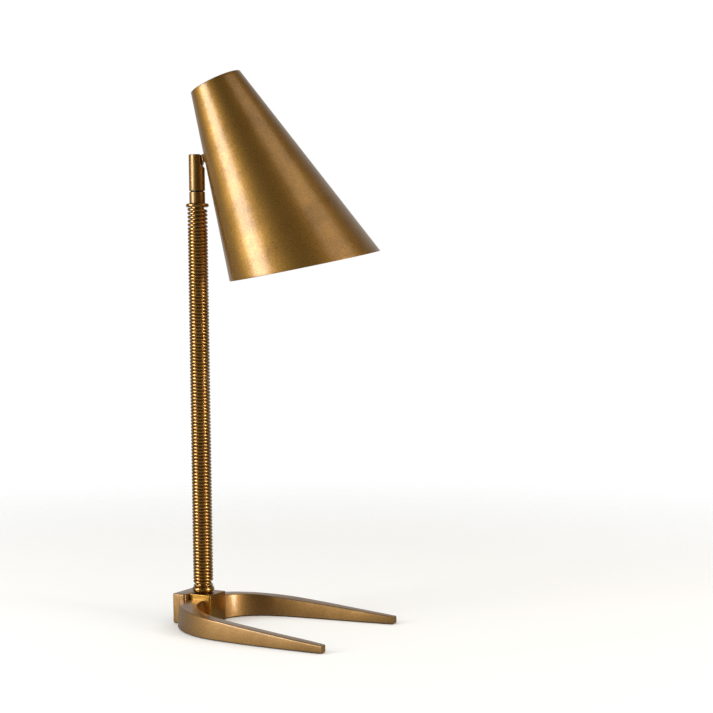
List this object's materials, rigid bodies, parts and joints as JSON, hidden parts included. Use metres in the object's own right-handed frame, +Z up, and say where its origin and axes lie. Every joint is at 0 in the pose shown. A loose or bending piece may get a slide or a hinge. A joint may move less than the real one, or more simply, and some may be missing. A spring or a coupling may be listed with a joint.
{
  "type": "desk_lamp",
  "caption": "Aged brass desk lamp: wishbone base, straight wire-wound stem, swivelling knuckle and a tilting conical metal shade over a screw-cap bulb",
  "frame": {"origin": "centre of the underside of the middle rubber pad, under the stem, on the table", "axes": "+Z up along the stem; +X out of the base between its two arms; +Y to the arm on the left of that direction; the head is stored swivelled 24.4 degrees anticlockwise from +X, seen from above"},
  "size_m": [0.2236, 0.2102, 0.6],
  "materials": {
    "satin_brass": "aged satin brass sheet, fine mottled grain",
    "cast_brass": "brushed and aged cast brass",
    "polished_brass": "polished brass",
    "turned_brass": "turned brass, satin",
    "wire_brass": "glossy aged brass wire",
    "steel": "plain steel",
    "nickel": "nickel-plated cap",
    "rubber": "black rubber",
    "phenolic": "moulded phenolic",
    "steatite": "pressed steatite ceramic",
    "cable_sleeve": "braided lead sleeve",
    "opal_glass": "opal bulb glass"
  },
  "bodies": {
    "base": {"base_yoke": "cast_brass", "stem_block": "polished_brass", "cord_gland": "phenolic", "pad_centre": "rubber", "pad_left": "rubber", "pad_right": "rubber", "block_screw_left": "steel", "block_screw_right": "steel", "stem_tube": "turned_brass", "stem_nut": "steel", "stem_washer": "steel", "stem_collar": "wire_brass", "stem_ferrule": "wire_brass", "stem_coil": "wire_brass", "stem_top_ring": "wire_brass", "neck": "turned_brass", "friction_washer": "steel", "stem_lead": "cable_sleeve"},
    "head": {"knuckle": "turned_brass", "swivel_stud": "steel", "hinge_pin_left": "turned_brass", "hinge_pin_right": "turned_brass"},
    "lampshade": {"shade": "satin_brass", "hinge_leaf": "cast_brass", "leaf_plate": "steel", "leaf_screw_left": "steel", "leaf_screw_right": "steel", "shade_cap": "satin_brass", "cap_nut": "polished_brass", "holder_nipple": "steel", "holder_cap": "phenolic", "holder_body": "phenolic", "contact_block": "steatite", "bulb_cap": "nickel", "bulb_glass": "opal_glass", "shade_lead": "cable_sleeve"},
    "knob": {"switch_knob": "phenolic"}
  },
  "joints": [
    {"name": "head_swivel", "type": "hinge", "parent": "base", "child": "head", "pos_m": [0, 0, 0.4705], "axis": [0, 0, 1], "range_deg": [-184, 136]},
    {"name": "shade_tilt", "type": "hinge", "parent": "head", "child": "lampshade", "pos_m": [0, 0, 0.5055], "axis": [0.4131, -0.9107, 0], "range_deg": [-6, 75]},
    {"name": "switch_turn", "type": "hinge", "parent": "lampshade", "child": "knob", "pos_m": [0.03252, 0.01475, 0.55729], "axis": [-0.4131, 0.9107, 0], "continuous": true}
  ]
}
